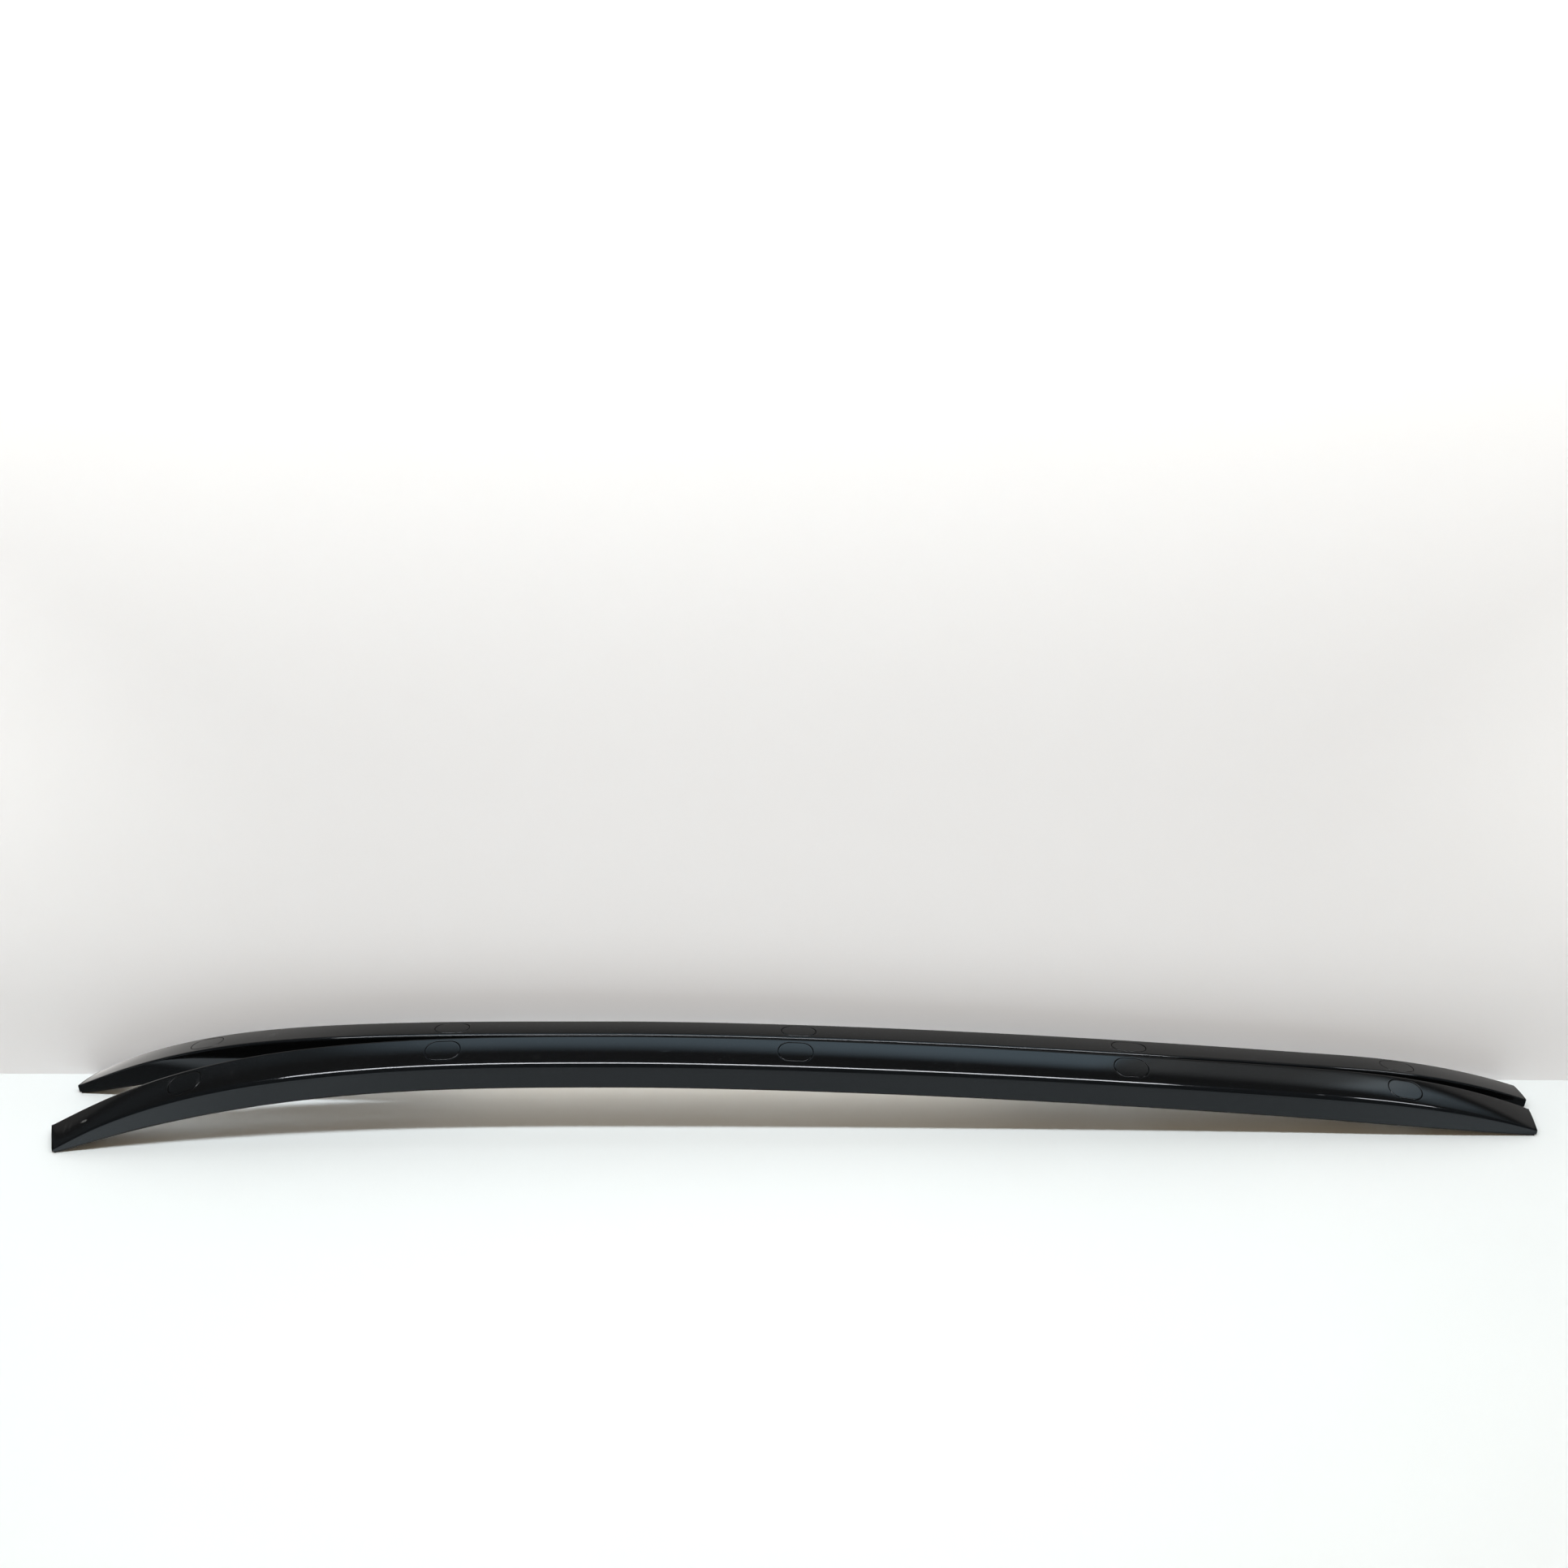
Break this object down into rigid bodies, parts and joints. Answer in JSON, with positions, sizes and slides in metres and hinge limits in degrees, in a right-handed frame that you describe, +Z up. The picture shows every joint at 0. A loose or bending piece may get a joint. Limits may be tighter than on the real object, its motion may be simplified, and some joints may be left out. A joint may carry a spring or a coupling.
{
  "type": "roof side rail pair",
  "caption": "Pair of arched gloss black roof side rails with flush cover plugs, hollow underneath and bolted through inner feet, standing back to back on their ends.",
  "frame": {"origin": "bottom centre of the bounding box, on the floor that the pair stands on", "axes": "+X along the rails towards their front ends, +Y from the left rail to the right rail, +Z up"},
  "size_m": [1.844, 0.1466, 0.1238],
  "materials": {
    "gloss_black": "gloss",
    "plug_black": "gloss",
    "seal": "matte",
    "washer": "matte",
    "cast": "as cast",
    "steel": "zinc plated"
  },
  "bodies": {
    "root": {"left_rail": "gloss_black", "left_gasket": "seal", "left_bolts": "steel", "left_plug_1": "plug_black", "left_plug_2": "plug_black", "left_plug_3": "plug_black", "left_plug_4": "plug_black", "left_plug_5": "plug_black", "left_foot_1": "cast", "left_foot_2": "cast", "left_foot_3": "cast", "left_foot_4": "cast", "left_foot_5": "cast", "left_washer_1": "washer", "left_washer_2": "washer", "left_washer_3": "washer", "left_washer_4": "washer", "left_washer_5": "washer", "right_rail": "gloss_black", "right_gasket": "seal", "right_bolts": "steel", "right_plug_1": "plug_black", "right_plug_2": "plug_black", "right_plug_3": "plug_black", "right_plug_4": "plug_black", "right_plug_5": "plug_black", "right_foot_1": "cast", "right_foot_2": "cast", "right_foot_3": "cast", "right_foot_4": "cast", "right_foot_5": "cast", "right_washer_1": "washer", "right_washer_2": "washer", "right_washer_3": "washer", "right_washer_4": "washer", "right_washer_5": "washer"}
  },
  "joints": []
}
